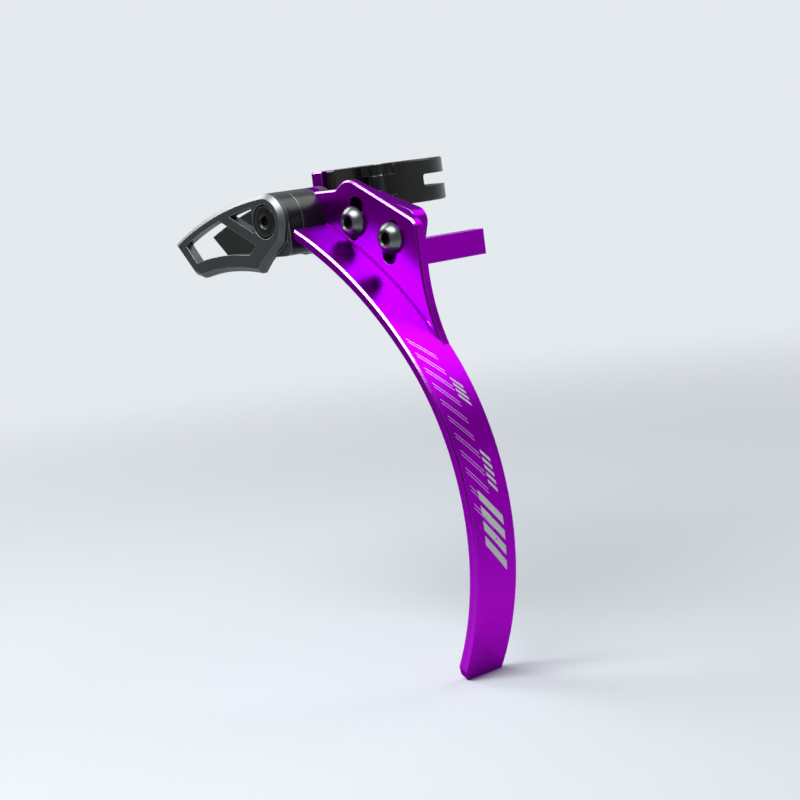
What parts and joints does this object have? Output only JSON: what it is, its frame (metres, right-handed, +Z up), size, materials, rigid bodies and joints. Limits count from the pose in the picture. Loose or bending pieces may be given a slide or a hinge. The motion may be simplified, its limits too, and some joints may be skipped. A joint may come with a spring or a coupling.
{
  "type": "bicycle chain guide",
  "caption": "Chain guide with a hinged seat tube clamp, a curved guard band over the chainring, a two-plate chain cage and slotted fixing.",
  "frame": {"origin": "on the seat tube's axis, at the middle of the clamp band", "axes": "+Z up along the seat tube, +X forwards, +Y to the inboard side of the bicycle; the chain side is at negative Y"},
  "size_m": [0.1152, 0.0925, 0.1358],
  "materials": {
    "purple_anodised": "bright satin purple anodising, machined edges with bright chamfers",
    "black_anodised": "satin black anodising",
    "cage_grey": "matte dark grey anodising with bright bevelled rims",
    "bolt_steel": "satin steel",
    "pin_steel": "ground steel",
    "black_bolt": "black oxide"
  },
  "bodies": {
    "root": {"clamp_front_band": "black_anodised", "clamp_rear_band": "black_anodised", "hinge_pin": "pin_steel", "clamp_bolt": "bolt_steel", "clamp_washer": "bolt_steel", "clamp_nut": "bolt_steel", "mounting_bracket": "purple_anodised", "bracket_screw": "bolt_steel", "chain_guard": "purple_anodised", "guard_bolts": "bolt_steel", "cage_outer_plate": "cage_grey", "cage_spacer": "cage_grey", "cage_inner_plate": "cage_grey", "cage_bolt": "black_bolt", "cage_nut": "bolt_steel"}
  },
  "joints": []
}
